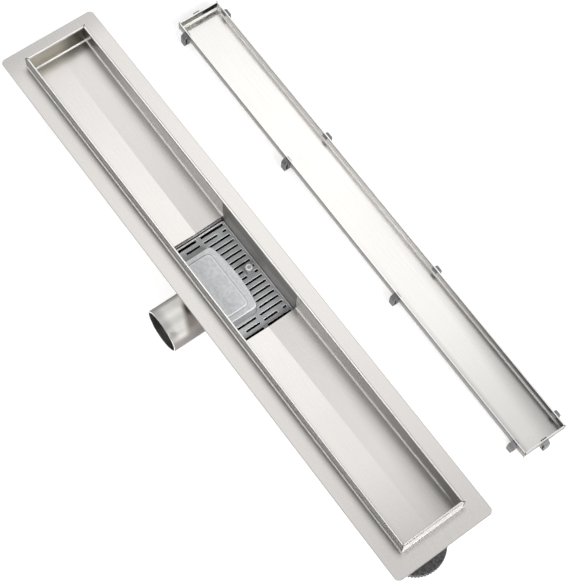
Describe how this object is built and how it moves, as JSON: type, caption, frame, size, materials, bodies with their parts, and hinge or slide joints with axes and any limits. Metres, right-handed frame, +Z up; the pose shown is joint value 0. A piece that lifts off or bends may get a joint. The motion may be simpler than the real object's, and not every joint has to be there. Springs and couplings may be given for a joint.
{
  "type": "linear shower drain",
  "caption": "Flanged steel drain channel with a slotted strainer, trap cap and side outlet on screw feet, its tile tray cover beside it.",
  "frame": {"origin": "centre of the sump's flat underside, midway along the channel", "axes": "+X along the channel, -Y out of the outlet, +Z up"},
  "size_m": [0.648, 0.2813, 0.1075],
  "materials": {
    "stainless_sheet": "satin brushed along the sheet",
    "plated_steel": "dull zinc plate",
    "grille_plastic": "fine moulded grain",
    "cap_plastic": "satin moulded",
    "post_plastic": "satin moulded",
    "seal_rubber": "dull",
    "foot_plastic": "satin, knurled edge",
    "clip_plastic": "satin moulded"
  },
  "bodies": {
    "drain": {"channel_body": "stainless_sheet", "sump_box": "stainless_sheet", "outlet_pipe": "stainless_sheet", "strainer": "grille_plastic", "trap_cap": "cap_plastic", "lift_post": "post_plastic", "outlet_housing": "cap_plastic", "outlet_seal": "seal_rubber", "left_bracket": "stainless_sheet", "left_weld_nut": "plated_steel", "left_lock_nut": "plated_steel", "right_bracket": "stainless_sheet", "right_weld_nut": "plated_steel", "right_lock_nut": "plated_steel", "cover_tray": "stainless_sheet", "side_clip_1": "clip_plastic", "side_clip_2": "clip_plastic", "side_clip_3": "clip_plastic", "side_clip_4": "clip_plastic", "side_clip_5": "clip_plastic", "side_clip_6": "clip_plastic", "side_clip_7": "clip_plastic", "side_clip_8": "clip_plastic", "right_end_clip": "clip_plastic", "left_end_clip": "clip_plastic"},
    "left_foot_screw": {"left_stud": "plated_steel", "left_foot": "foot_plastic"},
    "right_foot_screw": {"right_stud": "plated_steel", "right_foot": "foot_plastic"}
  },
  "joints": [
    {"name": "left_foot_height", "type": "slide", "parent": "drain", "child": "left_foot_screw", "axis": [0, 0, 1], "range_m": [-0.012, 0.014]},
    {"name": "right_foot_height", "type": "slide", "parent": "drain", "child": "right_foot_screw", "axis": [0, 0, 1], "range_m": [-0.012, 0.014]}
  ]
}
